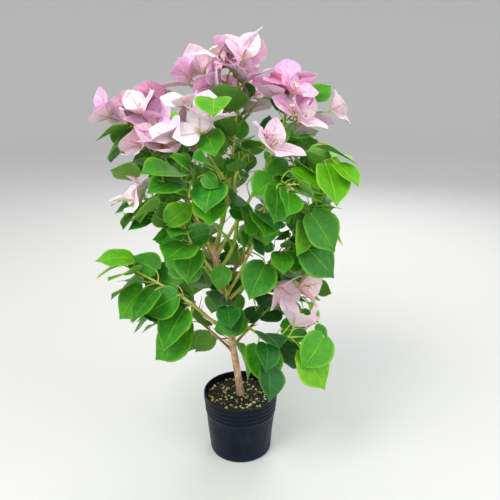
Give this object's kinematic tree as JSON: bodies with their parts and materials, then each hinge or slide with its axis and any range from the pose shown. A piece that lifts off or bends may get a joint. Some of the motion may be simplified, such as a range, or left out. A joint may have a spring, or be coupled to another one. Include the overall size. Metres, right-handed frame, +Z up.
{
  "type": "bougainvillea bush",
  "caption": "Young flowering bougainvillea bush in a round nursery pot: a leaning woody stem, side boughs, heart-shaped leaves and papery pale pink bracts.",
  "frame": {"origin": "middle of the pot's flat underside", "axes": "+Z up along the plant's height; +Y away from a viewer who faces the plant as the picture shows it; +X to that viewer's right"},
  "size_m": [0.2977, 0.2732, 0.5552],
  "materials": {
    "pot": "thin, black, satin",
    "soil": "moist peaty mix, rough",
    "bark": "pinkish tan bark, rough",
    "green_stem": "young yellow-green shoot",
    "foliage": "mid green heart-shaped leaves, yellow-green at the young tips, with a few bracts",
    "blossom": "papery pale lilac-pink bracts among a few green leaves"
  },
  "bodies": {
    "root": {"pot": "pot", "soil": "soil", "trunk": "bark", "bough_leader": "green_stem", "bough_fork_left": "green_stem", "bough_top": "green_stem", "bough_right_high": "green_stem", "bough_centre_left": "green_stem", "bough_centre_right": "green_stem", "bough_right_mid": "green_stem", "bough_right_low": "green_stem", "bough_left_long": "green_stem", "bough_left_mid": "green_stem", "bough_left_high": "green_stem", "bough_front_left": "green_stem", "bough_front_right": "green_stem", "bough_back_left": "green_stem", "bough_back_right": "green_stem", "bough_back_high": "green_stem", "bough_back_low": "green_stem", "bough_left_low": "green_stem", "bough_right_back_low": "green_stem", "foliage_crown_front": "blossom", "foliage_crown_left": "blossom", "foliage_crown_top": "blossom", "foliage_crown_right": "blossom", "foliage_centre_left": "foliage", "foliage_centre_right": "foliage", "foliage_right_mid": "foliage", "foliage_right_low": "foliage", "foliage_left_long": "foliage", "foliage_left_mid": "foliage", "foliage_left_high": "blossom", "foliage_front_left": "foliage", "foliage_front_right": "foliage", "foliage_back_left": "foliage", "foliage_back_right": "foliage", "foliage_back_high": "foliage", "foliage_back_low": "foliage", "foliage_left_low": "foliage", "foliage_right_back_low": "foliage", "foliage_front_low": "foliage"}
  },
  "joints": []
}
